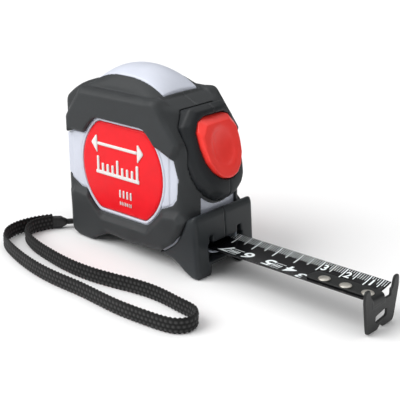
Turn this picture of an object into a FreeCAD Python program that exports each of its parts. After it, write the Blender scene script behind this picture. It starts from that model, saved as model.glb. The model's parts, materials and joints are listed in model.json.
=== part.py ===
"""Pocket tape measure, 5 m x 19 mm, with a rubber-armoured case and a wrist strap.

The case frame has its origin on the reel axis: +X is the way the blade is pulled,
+Z is up and the -Y half is the left one. Each case part is placed by STANCE, which
tips the case nose-up onto its feet. World zero is the table, under the reel axis.
"""
import FreeCAD, Part
import math
import os
import Sketcher
from FreeCAD import Placement, Rotation, Vector

SIZES = [
    ("blade_width", 19.0, "steel blade, across"),
    ("blade_gauge", 0.2, "blade with its coating"),
    ("blade_rise", 1.34, "height of the blade's edges over its middle"),
    ("blade_drop", 26.1, "reel axis down to the blade's underside"),
    ("blade_inner", 36.9, "inner end of the straight blade at rest"),
    ("blade_reach", 109.6, "reel axis to the hook's face at rest"),
    ("hub_height", 34.3, "table to reel axis"),
    ("stance_angle", 2.3, "nose-up angle of the case on its feet, degrees"),
    ("side_wall", 16.4, "mid-plane to the case shell's side face"),
    ("skin_gauge", 1.6, "rubber over the case shell"),
    ("skin_half", 17.0, "mid-plane to the rubber's side face"),
    ("bumper_half", 19.0, "mid-plane to a bumper's face"),
    ("bumper_root", 12.5, "mid-plane to where a bumper starts"),
    ("cavity_half", 13.2, "mid-plane to the shell's inner wall"),
    ("badge_radius", 22.4, "round part of the badge"),
    ("badge_flat", 18.4, "flat top and bottom of the badge"),
    ("badge_gauge", 1.0, "badge plate"),
    ("coil_radius", 24.2, "outside of the wound blade"),
    ("coil_inner", 18.8, "inside of the wound blade"),
    ("flange_radius", 25.6, "reel flanges"),
    ("flange_gauge", 1.2, "reel flanges"),
    ("drum_half", 9.8, "mid-plane to a reel flange"),
    ("drum_radius", 18.6, "reel drum, outside"),
    ("drum_bore", 17.0, "reel drum, inside"),
    ("arbor_radius", 4.0, "centre post"),
    ("arbor_half", 14.6, "half length of the centre post"),
    ("spring_radius", 16.4, "mainspring, outside"),
    ("spring_inner", 7.0, "mainspring, inside"),
    ("washer_radius", 9.0, "friction washers"),
    ("button_tilt", 18.0, "lean of the button's face, degrees"),
    ("button_travel", 2.5, "how far the release button goes in"),
    ("button_proud", 4.0, "button over its own seat"),
    ("pod_proud", 1.15, "button housing over the button's seat"),
    ("pin_radius", 1.2, "brake lever pin"),
    ("running_gap", 0.05, "radial clearance of a turning fit"),
    ("screw_radius", 1.25, "case screws, shank"),
    ("screw_head", 2.4, "case screws, head radius"),
    ("rivet_radius", 0.9, "hook rivets, shank"),
    ("rivet_head", 2.3, "hook rivets, head radius"),
    ("rivet_cap", 0.5, "hook rivets, head height"),
    ("hook_gauge", 1.0, "hook plate, and its play on the rivets"),
    ("tongue_gauge", 0.6, "hook tongue on the blade"),
    ("tongue_length", 30.0, "hook tongue on the blade"),
    ("clip_width", 13.0, "belt clip strip"),
    ("clip_gauge", 0.8, "belt clip strip"),
    ("clip_gap", 5.2, "room behind the belt clip's arm"),
    ("strap_width", 6.2, "webbing, standing on its edge"),
    ("strap_gauge", 1.3, "webbing, thickness"),
    ("neck_radius", 1.2, "cord between the case and the crimp"),
]
GAP = 0.06                 # between neighbouring still parts
DOME = (-0.5, -8.0)        # centre of the arc that the roof's rear corners lie on, in side view
DOME_RADIUS = 48.5         # its radius on the mid-plane
LEDGE = 30.9               # height of the flat collar that the crown rises from
CROWN_REAR, CROWN_FRONT = -22.0, 16.6    # ends of the crown and of the light panel in it
FACET_FALL = 0.447         # drop of the facet in front of the crown, for each unit forwards
SLOPE = (0.806, 0.592)     # normal of the sloping upper front, in side view
SOLE = -29.2               # underside of the case between its feet
SHELL_INSIDE = 3.6         # outer surface of the armour to the inside of the shell
STATIONS = (0.0, 5.5, 10.5, 14.0, 17.0)   # distances from the mid-plane where the case is drawn
SIDES = {"left": -1, "right": 1}

doc = FreeCAD.newDocument("TapeMeasure")
sheet = doc.addObject("Spreadsheet::Sheet", "Sizes")
for line, (alias, value, meaning) in enumerate(SIZES, start=1):
    sheet.set("A%d" % line, meaning)
    sheet.set("B%d" % line, str(value))
    sheet.setAlias("B%d" % line, alias)
doc.recompute()
nodes = []


def size(alias):
    return float(sheet.get(alias))


def cell(alias):
    return "Sizes." + alias


STANCE = Placement(Vector(0, 0, size("hub_height")), Rotation(Vector(0, 1, 0), -size("stance_angle")))
TABLE = Placement()
BLADE_Z = -size("blade_drop")


def sole_height(x, lift=0.0):
    """Height in the case frame of the point at x that is lift above the table."""
    lean = math.radians(size("stance_angle"))
    return (lift - size("hub_height") - x * math.sin(lean)) / math.cos(lean)


# ---------------------------------------------------------------- building blocks

def new_body(label, placement=STANCE):
    body = doc.addObject("PartDesign::Body", label)
    body.Label = label
    body.Placement = placement
    nodes.append(body)
    return body


def draw(sketch, outline):
    """An outline is corners; an entry of two corners is an arc through the first to the second."""
    pieces = []
    start = outline[0]
    for entry in list(outline[1:]) + [outline[0]]:
        if isinstance(entry[0], tuple):
            middle, end = entry
            arc = Part.Arc(*[Vector(p[0], p[1], 0) for p in (start, middle, end)])
            pieces.append(arc)
        else:
            end = entry
            if math.dist(start, end) > 1e-6:
                pieces.append(Part.LineSegment(Vector(*start, 0), Vector(*end, 0)))
        start = end
    for piece in pieces:
        sketch.addGeometry(piece, False)


def new_sketch(body, role, offset=0.0):
    sketch = body.newObject("Sketcher::SketchObject", body.Name + "_sketch")
    support = [f for f in body.Origin.OriginFeatures if f.Role == role][0]
    sketch.AttachmentSupport = (support, "")
    sketch.MapMode = "FlatFace"
    sketch.AttachmentOffset = Placement(Vector(0, 0, offset), Rotation())
    return sketch


def outline_sketch(body, role, outline, offset=0.0):
    sketch = new_sketch(body, role, offset)
    draw(sketch, outline)
    return sketch


def circle_sketch(body, role, centre, alias, offset=0.0, extra=0.0):
    """One circle whose radius is a sheet size, plus extra."""
    sketch = new_sketch(body, role, offset)
    sketch.addGeometry(Part.Circle(Vector(centre[0], centre[1], 0), Vector(0, 0, 1), size(alias) + extra), False)
    index = sketch.addConstraint(Sketcher.Constraint("Radius", 0, size(alias) + extra))
    sketch.setExpression("Constraints[%d]" % index, "%s + %g" % (cell(alias), extra))
    return sketch


def extrude(body, sketch, kind, length, reverse=False, symmetric=False, bound=None):
    feature = body.newObject("PartDesign::" + kind, body.Name + "_" + kind.lower())
    feature.Profile = sketch
    feature.Length = length
    if symmetric:
        feature.SideType = "Symmetric"
    feature.Reversed = reverse
    if bound:
        feature.setExpression("Length", bound)
    return feature


def slab(body, make, near, far, side=-1, kind="Pad", bound=None):
    """A side-view outline filled (Pad) or cleared (Pocket) between two distances from the mid-plane.

    The side-view plane looks along +Y, so its sketches' own normal is -Y.
    """
    start = near if kind == "Pad" else far
    sketch = make(body, "XZ_Plane", -side * start)
    return extrude(body, sketch, kind, far - near, reverse=side > 0, bound=bound)


def outlined(outline):
    return lambda body, role, offset: outline_sketch(body, role, outline, offset)


def round_at(centre, alias, extra=0.0):
    return lambda body, role, offset: circle_sketch(body, role, centre, alias, offset, extra)


def loft(body, outlines, side, kind):
    """A ruled loft through side-view outlines given as (distance from the mid-plane, outline)."""
    sketches = [outline_sketch(body, "XZ_Plane", outline, -side * y) for y, outline in outlines]
    feature = body.newObject("PartDesign::%sLoft" % kind, body.Name + "_loft")
    feature.Profile = sketches[0]
    feature.Sections = sketches[1:]
    feature.Ruled = True
    return feature


def along_x(body, outline, start, end, kind="Pad"):
    """A front-view outline (Y, Z) filled or cleared from start to end along X."""
    offset = start if kind == "Pad" else end
    return extrude(body, outline_sketch(body, "YZ_Plane", outline, offset), kind, end - start)


def upright(body, make, bottom, top, kind="Pad"):
    """A plan outline filled or cleared from bottom to top along Z."""
    offset = bottom if kind == "Pad" else top
    return extrude(body, make(body, "XY_Plane", offset), kind, top - bottom)


def rectangle(x0, x1, z0, z1):
    return [(x0, z0), (x1, z0), (x1, z1), (x0, z1)]


def mirrored(outline):
    """A closed outline from its half with positive first coordinates, listed top to bottom."""
    return outline + [(-x, y) for x, y in reversed(outline)]


# ---------------------------------------------------------------- outer shape of the case

def between(y, values):
    """Straight-line value at distance y from the mid-plane, between the stations."""
    for i in range(len(STATIONS) - 1):
        if y <= STATIONS[i + 1] or i == len(STATIONS) - 2:
            part = (y - STATIONS[i]) / (STATIONS[i + 1] - STATIONS[i])
            return values[i] + part * (values[i + 1] - values[i])


def crown(y, inset):
    """Rear end, top and front end of the crown's arc at distance y from the mid-plane."""
    peak = between(y, (40.2, 39.2, 36.2, 31.9, 31.6))
    return (CROWN_REAR + 0.3 * inset, LEDGE - inset), (-3.0, peak - inset), (CROWN_FRONT, LEDGE + 0.4 - inset)


def case_outline(y, inset):
    """Side view of the case at distance y from the mid-plane, moved in by inset."""
    radius = DOME_RADIUS - between(y, (0.0, 0.4, 1.4, 2.6, 3.4)) - inset
    rear = -between(y, (34.4, 34.3, 34.1, 33.2, 31.0)) + inset
    reach = between(y, (37.4, 37.2, 36.5, 35.6, 34.4)) - inset
    front = between(y, (37.6, 37.4, 36.4, 34.0, 30.4)) - inset
    bottom = SOLE + inset * 0.7
    rear_top = DOME[1] + math.sqrt(radius ** 2 - (rear - DOME[0]) ** 2)
    collar = DOME[0] - math.sqrt(radius ** 2 - (LEDGE - inset - DOME[1]) ** 2)
    arc_rear, arc_top, arc_front = crown(y, inset)
    brow = (reach - SLOPE[1] * (arc_front[1] + FACET_FALL * arc_front[0])) / (SLOPE[0] - SLOPE[1] * FACET_FALL)
    chin = (reach - SLOPE[0] * front) / SLOPE[1]
    return [(rear, bottom), (rear, rear_top), (collar, arc_rear[1]), arc_rear, (arc_top, arc_front),
            (brow, arc_front[1] - FACET_FALL * (brow - arc_front[0])), (front, chin), (front, bottom)]


def case_stations(limit, inset):
    distances = [y for y in STATIONS if y < limit - 0.5] + [limit]
    return [(y, case_outline(y, inset)) for y in distances]


def badge_outline(grow):
    """A circle cut flat at the top and bottom, grown all round by grow."""
    radius = size("badge_radius") + grow
    flat = size("badge_flat") + grow
    half = math.sqrt(radius ** 2 - flat ** 2)
    return [(-half, flat), (half, flat), ((radius, 0), (half, -flat)), (-half, -flat), ((-radius, 0), (-half, flat))]


PANEL_WINDOW = [(-36.0, 9.0), (-27.2, 11.7), (20.7, 12.7), (27.7, 9.8), (29.9, 2.8), (29.3, -5.3),
                (27.2, -8.2), (22.0, -10.6), (-23.8, -11.8), (-28.3, -9.3), (-36.0, -4.4)]
UPPER_BUMPER = [(-31.2, 9.2), (-31.2, 17.7), (-22.5, 30.0), (13.8, 30.8), (19.2, 31.6), (31.5, 16.3),
                (30.3, 12.8), (27.7, 9.8), (20.7, 12.7), (-27.2, 11.7)]


def lower_bumper():
    return [(-31.2, -14.8), (-27.5, -11.0), (-18.4, -12.2), (-10.4, -20.1), (13.7, -20.0), (22.4, -10.9),
            (30.6, -9.9), (33.6, -13.8), (30.8, -19.4), (27.5, -23.6), (22.2, -27.5), (17.0, -28.7),
            (5.8, -29.4), (-8.6, -28.6), (-11.5, -30.2), (-15.6, -32.4), (-17.6, sole_height(-17.6)),
            (-25.2, sole_height(-25.2)), (-28.4, -31.9), (-29.8, -29.0), (-30.8, -19.9)]


def mouth_outline(grow=0.0):
    """Side view of the nose block, from its brow down to its foot."""
    foot = sole_height(40.8)
    return [(34.3 - grow, -12.6 + grow), (38.2, -10.0 + grow), (39.2 + grow, -13.0), (40.6 + grow, -33.6),
            (40.4 + grow, foot), (36.6, sole_height(36.6)), (32.9, -34.0), (30.1, -32.0), (26.9, -30.4),
            (22.6, -29.7 - grow), (19.0 - grow, -29.6 - grow), (22.6 - grow, -27.5 + grow),
            (27.9 - grow, -23.6 + grow), (31.2 - grow, -19.4 + grow)]


SCREW_PLACES = [(-24.5, 16.5), (17.0, 24.0), (-23.0, -19.0), (23.5, -19.5)]
CLIP_SCREW = (0.0, 12.0)
LEVER_PIVOT = (28.6, -8.0)
STRAP_PIN = (-26.4, -11.4)
MOUTH_HALF = 10.2
RIVET_Y = -3.5                           # the tongue and its rivets sit left of the blade's middle
TONGUE = (-6.3, 2.2)
MOUTH_FLOOR, MOUTH_ROOF = -28.4, -19.5


# ---------------------------------------------------------------- button frame

def button_place():
    """Placement of the button's own frame: local X across, local Y up the slope, local Z outwards."""
    lean = size("button_tilt")
    local = Placement(Vector(34.88, 0, 13.15), Rotation(Vector(0, 1, 0), 90 - lean))
    return local.multiply(Placement(Vector(), Rotation(Vector(0, 0, 1), 90)))


BUTTON_FRAME = button_place()
POD_HALF = [(9.5, 16.5), (14.0, 10.5), (14.4, 3.0), (14.4, -4.0), (13.4, -9.0), (11.6, -13.5), (9.0, -16.9),
            (5.0, -19.6), (1.5, -20.3)]
POD_OUTLINE = mirrored(POD_HALF)


def button_outline(grow=0.0):
    half = [(5.2 + grow, 12.3 + grow), (8.6 + grow, 10.9 + grow), (10.3 + grow, 7.0), (10.1 + grow, 1.0),
            (9.2 + grow, -4.5), (7.2 + grow, -8.8 - grow), (4.2 + grow, -11.7 - grow), (1.2, -12.6 - grow)]
    return mirrored(half)


def carve(label, body, tool_outline, low, high):
    """Clears a button-frame outline from a body in the case frame, between two local heights."""
    sketch = body.newObject("Sketcher::SketchObject", label)
    support = [f for f in body.Origin.OriginFeatures if f.Role == "XY_Plane"][0]
    sketch.AttachmentSupport = (support, "")
    sketch.MapMode = "FlatFace"
    sketch.AttachmentOffset = BUTTON_FRAME.multiply(Placement(Vector(0, 0, high), Rotation()))
    draw(sketch, tool_outline)
    return extrude(body, sketch, "Pocket", high - low)


# ---------------------------------------------------------------- case shells and armour

def case_half(name, side):
    """Light ABS half shell: domed outside, reel chamber, front chamber, bosses and openings."""
    body = new_body("case_" + name)
    loft(body, case_stations(size("side_wall"), size("skin_gauge")), side, "Additive")
    wide, narrow = size("cavity_half"), 8.0
    slab(body, outlined(case_outline(wide, SHELL_INSIDE)), 0, wide, side, "Pocket", bound=cell("cavity_half"))
    slab(body, outlined(case_outline(narrow, SHELL_INSIDE)), 0, narrow, side, "Pocket")
    slab(body, outlined(rectangle(-31.6, 0.0, -26.7, -23.4)), 0, MOUTH_HALF, side, "Pocket")
    slab(body, outlined(rectangle(20.0, 45.0, -27.6, MOUTH_ROOF)), 0, MOUTH_HALF, side, "Pocket")
    carve("button_seat", body, button_outline(0.3), -3.9, 12.0)
    carve("stem_hole", body, rectangle(-3.6, 3.6, -4.9, 0.9), -12.0, 0.0)
    boss_end = size("drum_half") + size("flange_gauge") + 1.0
    slab(body, round_at((0, 0), "washer_radius", 0.5), boss_end, size("cavity_half"), side)
    slab(body, round_at((0, 0), "arbor_radius", 0.02), 0, size("arbor_half") + 0.1, side, "Pocket")
    slab(body, round_at(LEVER_PIVOT, "pin_radius", 1.2), 6.4, size("cavity_half"), side)
    slab(body, round_at(LEVER_PIVOT, "pin_radius", 0.02), 0, size("cavity_half") + 1.1, side, "Pocket")
    for place in SCREW_PLACES:
        slab(body, round_at(place, "screw_radius", 1.25), 0.0, size("cavity_half"), side)
        if side > 0:
            slab(body, round_at(place, "screw_radius", 0.2), 0, 17.0, side, "Pocket")
            slab(body, round_at(place, "screw_head", 0.2), 13.4, 20.0, side, "Pocket")
        else:
            slab(body, round_at(place, "screw_radius", 0.01), 0, 12.1, side, "Pocket")
    slab(body, outlined(badge_outline(0.1)), size("side_wall") - 0.6, 20.0, side, "Pocket")
    return body


def armour_half(name, side):
    """Rubber skin over a half shell with its raised upper and lower bumpers and rear foot."""
    body = new_body("overmold_" + name)
    loft(body, case_stations(size("skin_half"), 0.0), side, "Additive")
    slab(body, outlined(UPPER_BUMPER), size("bumper_root"), size("bumper_half"), side)
    slab(body, outlined(lower_bumper()), size("bumper_root"), size("bumper_half"), side)
    loft(body, case_stations(size("side_wall") + GAP, size("skin_gauge") - GAP), side, "Subtractive")
    slab(body, outlined(PANEL_WINDOW), size("bumper_root"), 20.0, side, "Pocket")
    slab(body, outlined(badge_outline(1.3)), size("bumper_root"), 20.0, side, "Pocket")
    slab(body, outlined(rectangle(CROWN_REAR - 0.1, CROWN_FRONT + 0.1, 26.0, 45.0)), 0, 9.8, side, "Pocket")
    slab(body, outlined(mouth_outline(0.5)), 0, 20.0, side, "Pocket")
    slab(body, outlined([(30.0, -40.0), (45.0, -40.0), (45.0, -1.0), (33.0, -2.6)]), 0, 20.0, side, "Pocket")
    carve("pod_seat", body, [(x * 1.01, y * 1.01) for x, y in POD_OUTLINE], -9.0, 12.0)
    if side > 0:
        for place in SCREW_PLACES:
            slab(body, round_at(place, "screw_head", 0.2), 12.6, 20.0, side, "Pocket")
    else:
        slab(body, outlined(rectangle(-40.0, STRAP_PIN[0] + 1.0, -32.6, -28.7)), 9.8, 14.6, side, "Pocket")
        upright(body, round_at(STRAP_PIN, "rivet_radius", 0.12), -33.0, -28.0, "Pocket")
    return body


def top_panel():
    """Light insert that follows the crown of the roof."""
    body = new_body("top_panel")
    views = []
    for y in (9.6, 5.5, 0.0, -5.5, -9.6):
        (rear, top, front), (low_rear, low_top, low_front) = crown(abs(y), 0.0), crown(abs(y), size("skin_gauge") - GAP)
        low_rear = (rear[0], low_rear[1])
        views.append((y, [front, (top, rear), low_rear, (low_top, low_front)]))
    loft(body, views, 1, "Additive")
    return body


def nose_half(name, side):
    """Half of the hard nose block round the mouth, with its foot and the hook's prong slot."""
    body = new_body("nose_" + name)
    slab(body, outlined(mouth_outline()), 0, 17.3, side)
    loft(body, case_stations(size("side_wall") + GAP, size("skin_gauge") - GAP), side, "Subtractive")
    slab(body, outlined(rectangle(15.0, 45.0, -30.0, MOUTH_ROOF)), 0, MOUTH_HALF, side, "Pocket")
    slab(body, outlined([(15.0, -45.0), (45.0, -45.0), (45.0, -31.6), (15.0, -31.6)]), 0, 8.6, side, "Pocket")
    return body


def pod_half(name, side):
    """Half of the raised housing round the release button."""
    body = new_body("button_pod_" + name)
    sketch = new_sketch(body, "XY_Plane")
    sketch.AttachmentOffset = BUTTON_FRAME.multiply(Placement(Vector(0, 0, -8.0), Rotation()))
    draw(sketch, POD_HALF + [(0.0, -20.3), (0.0, 16.5)] if side > 0 else
         [(0.0, 16.5), (0.0, -20.3)] + [(-x, y) for x, y in reversed(POD_HALF)])
    extrude(body, sketch, "Pad", 8.0 + size("pod_proud"), bound="8 + " + cell("pod_proud"))
    carve("window", body, button_outline(0.3), -12.0, 12.0)
    loft(body, case_stations(size("side_wall") + GAP, size("skin_gauge") - GAP), side, "Subtractive")
    return body


def badge(name, side):
    """Red plate let into the side of the shell, in a thin light frame."""
    body = new_body("badge_" + name)
    depth = size("side_wall") - 0.6 + GAP
    slab(body, outlined(badge_outline(0.0)), depth, depth + size("badge_gauge") + 0.2, side)
    frame = new_body("badge_frame_" + name)
    floor = size("side_wall") + GAP
    slab(frame, outlined(badge_outline(1.2)), floor, floor + 0.5, side)
    slab(frame, outlined(badge_outline(0.1)), 0.0, 20.0, side, "Pocket")
    if side > 0:
        slab(body, round_at(CLIP_SCREW, "screw_radius", 0.2), 12.0, 20.0, side, "Pocket")


for side_name, side_sign in SIDES.items():
    shell = case_half(side_name, side_sign)
    if side_sign > 0:
        slab(shell, round_at(CLIP_SCREW, "screw_radius", 0.01), 13.6, 20.0, side_sign, "Pocket")
    armour_half(side_name, side_sign)
    nose_half(side_name, side_sign)
    pod_half(side_name, side_sign)
    badge(side_name, side_sign)
top_panel()


# ---------------------------------------------------------------- reel, spring and blade

def ring(label, outer, inner, near, far, extra=0.0):
    """Ring about the reel axis between two Y positions."""
    body = new_body(label)
    extrude(body, circle_sketch(body, "XZ_Plane", (0, 0), outer, -near), "Pad", far - near, reverse=True)
    extrude(body, circle_sketch(body, "XZ_Plane", (0, 0), inner, -far, extra), "Pocket", far - near, reverse=True)
    return body


def reel_parts():
    half, flange = size("drum_half"), size("flange_gauge")
    reel = new_body("reel")
    extrude(reel, circle_sketch(reel, "XZ_Plane", (0, 0), "flange_radius", half), "Pad", flange)
    extrude(reel, circle_sketch(reel, "XZ_Plane", (0, 0), "drum_radius", half), "Pad", 2 * half - GAP, reverse=True)
    extrude(reel, circle_sketch(reel, "XZ_Plane", (0, 0), "drum_bore", -half), "Pocket", 2 * half - GAP, reverse=True)
    extrude(reel, circle_sketch(reel, "XZ_Plane", (0, 0), "arbor_radius", half + flange, size("running_gap")),
            "Pocket", flange + 1.0)
    ring("reel_cover", "flange_radius", "arbor_radius", half, half + flange, size("running_gap"))
    arbor = new_body("arbor")
    extrude(arbor, circle_sketch(arbor, "XZ_Plane", (0, 0), "arbor_radius"), "Pad", 2 * size("arbor_half"),
            symmetric=True, bound="2 * " + cell("arbor_half"))
    slab(arbor, outlined(rectangle(-0.4, 0.4, -5.0, 5.0)), 0.0, 7.0, 1, "Pocket")
    ring("blade_coil", "coil_radius", "coil_inner", -size("blade_width") / 2, size("blade_width") / 2)
    ring("mainspring", "spring_radius", "spring_inner", -8.5, 8.5)
    for name, side in SIDES.items():
        low = half + flange + 0.1
        near, far = (low, low + 0.7) if side > 0 else (-low - 0.7, -low)
        ring("reel_washer_" + name, "washer_radius", "arbor_radius", near, far, 0.1)


def blade_section(lift, gauge, left, right):
    """Front view from y left to right of a strip that follows the blade's curve, lift above its underside."""
    chord = size("blade_width") / 2
    radius = (chord ** 2 + size("blade_rise") ** 2) / (2 * size("blade_rise"))

    def at(height, y):
        return (y, BLADE_Z + height + radius - math.sqrt(radius ** 2 - y ** 2))
    low, high, middle = lift, lift + gauge, (left + right) / 2
    return [at(low, left), (at(low, middle), at(low, right)), at(high, right), (at(high, middle), at(high, left))]


def rivet_places():
    reach = size("blade_reach")
    return [(reach - along, RIVET_Y) for along in (2.8, 11.9, 20.9)]


def blade_parts():
    gauge, reach, half = size("blade_gauge"), size("blade_reach"), size("blade_width") / 2
    blade = new_body("blade")
    along_x(blade, blade_section(0.0, gauge, -half, half), size("blade_inner"), reach - 1.2)
    for place in rivet_places():
        upright(blade, round_at(place, "rivet_radius", 0.01), -28.0, -24.0, "Pocket")

    rivets = new_body("hook_rivets")
    deck = BLADE_Z + gauge + size("tongue_gauge") + 0.6
    for place in rivet_places():
        upright(rivets, round_at(place, "rivet_radius"), BLADE_Z - 0.45, deck + 0.1)
        upright(rivets, round_at(place, "rivet_head"), deck, deck + size("rivet_cap"))
        upright(rivets, round_at(place, "rivet_head", -0.5), BLADE_Z - 0.5, BLADE_Z - 0.05)

    hook = new_body("hook")
    back = reach - size("tongue_length")
    along_x(hook, blade_section(gauge + 0.05, size("tongue_gauge"), *TONGUE), back, reach + 0.5)
    front = [(11.0, -21.0), (11.2, -25.4), (8.8, sole_height(reach, 0.35)), (1.8, sole_height(reach, 0.35)),
             (0.0, sole_height(reach, 1.9))]
    prongs = [(7.9, -21.0), (6.8, -25.2)]
    left = [(-y, z) for y, z in reversed(front[:-1])]
    along_x(hook, front + left + [(-y, z) for y, z in prongs] + list(reversed(prongs)), reach, reach + size("hook_gauge"))
    room = size("rivet_radius") + size("running_gap")
    for x, y in rivet_places():
        slot = rectangle(x - room, x + room + size("hook_gauge"), y - room, y + room)
        upright(hook, outlined(slot), -28.0, -22.0, "Pocket")
    along_x(hook, [(-3.1, -33.1), (3.5, -32.0), (3.5, -34.3), (-3.1, -35.4)], reach - 1.0, reach + 3.0, "Pocket")

    lead = new_body("blade_lead")
    inner = size("blade_inner") - 0.2
    slab(lead, outlined([(inner, -26.0), (inner, -25.8), (0.0, -24.25), (0.0, -24.45)]), 0.0, half, -1)
    slab(lead, outlined([(inner, -26.0), (inner, -25.8), (0.0, -24.25), (0.0, -24.45)]), 0.0, half, 1)

    guide = new_body("mouth_guide")
    top = BLADE_Z - 0.55
    along_x(guide, rectangle(-9.9, 9.9, top - 0.9, top), 31.0, 39.5)


reel_parts()
blade_parts()


# ---------------------------------------------------------------- release button and brake

def button_parts():
    body = new_body("release_button", STANCE.multiply(BUTTON_FRAME))
    cap = outline_sketch(body, "XY_Plane", button_outline(), -1.0)
    extrude(body, cap, "Pad", size("button_proud") + 1.0, bound=cell("button_proud") + " + 1")
    stem = outline_sketch(body, "XY_Plane", rectangle(-3.2, 3.2, -4.4, 0.4), -3.55)
    extrude(body, stem, "Pad", 2.65)
    dish = body.newObject("Sketcher::SketchObject", "dish_sketch")
    support = [f for f in body.Origin.OriginFeatures if f.Role == "YZ_Plane"][0]
    dish.AttachmentSupport = (support, "")
    dish.MapMode = "FlatFace"
    draw(dish, [(-9.0, 4.0), (9.0, 4.0), ((0.0, 2.4), (-9.0, 4.0))])
    extrude(body, dish, "Pocket", 13.0, symmetric=True)


def brake_parts():
    x, z = LEVER_PIVOT
    lever = new_body("brake_lever")
    arm = [(27.4, -7.0), (30.2, -7.0), (31.3, 3.0), (31.35, 12.6), (28.9, 12.6), (28.3, 3.0)]
    for side in SIDES.values():
        slab(lever, round_at(LEVER_PIVOT, "pin_radius", 1.6), 0, 6.0, side)
        slab(lever, outlined(arm), 0, 4.0, side)
        slab(lever, outlined([(27.4, -9.5), (30.4, -9.5), (31.2, -20.6), (29.8, -20.6)]), 0, 6.0, side)
        slab(lever, outlined([(29.8, -23.3), (32.6, -23.3), (32.6, -20.5), (29.8, -20.5)]), 0, 9.2, side)
        slab(lever, outlined([(29.8, -24.55), (32.6, -24.55), (32.6, -23.2), (29.8, -23.2)]), 6.4, 9.2, side)
    for side in SIDES.values():
        slab(lever, round_at(LEVER_PIVOT, "pin_radius", size("running_gap")), 0, 6.5, side, "Pocket")
    pin = new_body("lever_pin")
    extrude(pin, circle_sketch(pin, "XZ_Plane", LEVER_PIVOT, "pin_radius"), "Pad", 2 * size("cavity_half") + 2.0,
            symmetric=True)
    spring = new_body("brake_spring")
    leaf = [(33.2, -3.0), (32.9, -3.0), (32.9, -8.0), (31.95, -14.0), (32.25, -14.0), (33.2, -8.0)]
    for side in SIDES.values():
        slab(spring, outlined(leaf), 0, 3.0, side)


button_parts()
brake_parts()


# ---------------------------------------------------------------- screws and belt clip

def case_screws():
    body = new_body("case_screws")
    for place in SCREW_PLACES:
        extrude(body, circle_sketch(body, "XZ_Plane", place, "screw_radius", 12.0), "Pad", 25.6, reverse=True)
        head = extrude(body, circle_sketch(body, "XZ_Plane", place, "screw_head", -13.5), "Pad", 1.8, reverse=True)
    return head


def belt_clip():
    """Spring-steel strip folded at its top: the flat plate is screwed down and the arm flexes."""
    width, gauge = size("clip_width"), size("clip_gauge")
    face = size("side_wall") - 0.6 + GAP + size("badge_gauge") + 0.2 + 0.05
    fold = 16.6
    plate = new_body("clip_plate")
    flat = rectangle(face, face + gauge, 5.0, fold)
    across = dict(symmetric=True, bound=cell("clip_width"))
    extrude(plate, outline_sketch(plate, "YZ_Plane", flat), "Pad", width, **across)
    extrude(plate, circle_sketch(plate, "XZ_Plane", CLIP_SCREW, "screw_radius", -20.0, 0.1), "Pocket", 6.0, reverse=True)
    arm = new_body("belt_clip")
    outer = face + size("clip_gap") + 2 * gauge
    middle = (face + outer) / 2
    bend = [(face, fold + 0.1), ((middle, fold + 3.0), (outer, fold + 0.1)), (outer, -8.0),
            (outer - 2.2, -14.0), (outer - 0.6, -17.5), (outer - 1.3, -17.8), (outer - 3.0, -14.0),
            (outer - gauge, -8.2), (outer - gauge, fold + 0.1), ((middle, fold + 3.0 - gauge), (face + gauge, fold + 0.1))]
    extrude(arm, outline_sketch(arm, "YZ_Plane", bend), "Pad", width, **across)
    screw = new_body("clip_screw")
    extrude(screw, circle_sketch(screw, "XZ_Plane", CLIP_SCREW, "screw_radius", -13.7), "Pad", face + gauge - 13.7,
            reverse=True)
    extrude(screw, circle_sketch(screw, "XZ_Plane", CLIP_SCREW, "screw_head", -(face + gauge)), "Pad", 1.2, reverse=True)


case_screws()
belt_clip()


# ---------------------------------------------------------------- wrist strap, on the table

NECK_ROUTE = [(-26.5, -11.6), (-31.0, -12.6), (-33.2, -16.9)]
NECK_HEIGHT = 2.7
STRAP_LIFT = 0.05
CRIMP = ((-33.2, -16.9), (-37.0, -21.9))     # its two ends in plan
STRAP_ROUTE = [(-37.6, -21.4), (-40.2, -26.6), (-41.6, -33.0), (-41.6, -39.5), (-38.8, -45.6), (-33.0, -50.0),
               (-24.5, -53.0), (-14.0, -55.6), (-3.0, -57.2), (8.0, -57.4), (18.0, -56.7), (28.0, -57.0),
               (38.5, -57.3), (47.5, -56.5), (55.0, -55.5), (61.1, -54.3), (64.4, -52.2), (66.1, -48.7),
               (65.6, -44.8), (63.1, -41.8), (59.3, -40.7), (53.0, -40.5), (46.0, -39.7), (38.5, -39.8),
               (30.5, -41.2), (21.5, -43.8), (12.0, -45.8), (1.0, -46.4), (-11.0, -45.3), (-22.5, -43.4),
               (-31.0, -40.4), (-36.2, -36.6), (-38.4, -31.6), (-37.9, -26.8), (-36.3, -22.3)]


def rounded_path(points, height):
    """Straight runs joined by tangent arcs, each as large as its two runs allow."""
    edges, radii = [], []
    corners = [Vector(x, y, height) for x, y in points]
    start = corners[0]
    for before, corner, after in zip(corners, corners[1:], corners[2:]):
        way_in = (corner - before).normalize()
        way_out = (after - corner).normalize()
        reach = 0.45 * min((corner - before).Length, (after - corner).Length)
        half_turn = way_in.getAngle(way_out) / 2
        radii.append(reach / math.tan(half_turn))
        arc_start, arc_end = corner - way_in * reach, corner + way_out * reach
        bisector = (way_out - way_in).normalize()
        middle = corner + bisector * (radii[-1] / math.cos(half_turn) - radii[-1])
        edges.append(Part.LineSegment(start, arc_start).toShape())
        edges.append(Part.Arc(arc_start, middle, arc_end).toShape())
        start = arc_end
    edges.append(Part.LineSegment(start, corners[-1]).toShape())
    return Part.Wire(edges), radii


def solid_feature(label, shape):
    feature = doc.addObject("Part::Feature", label)
    feature.Shape = shape
    feature.Label = label
    feature.Placement = TABLE
    nodes.append(feature)
    return feature


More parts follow.
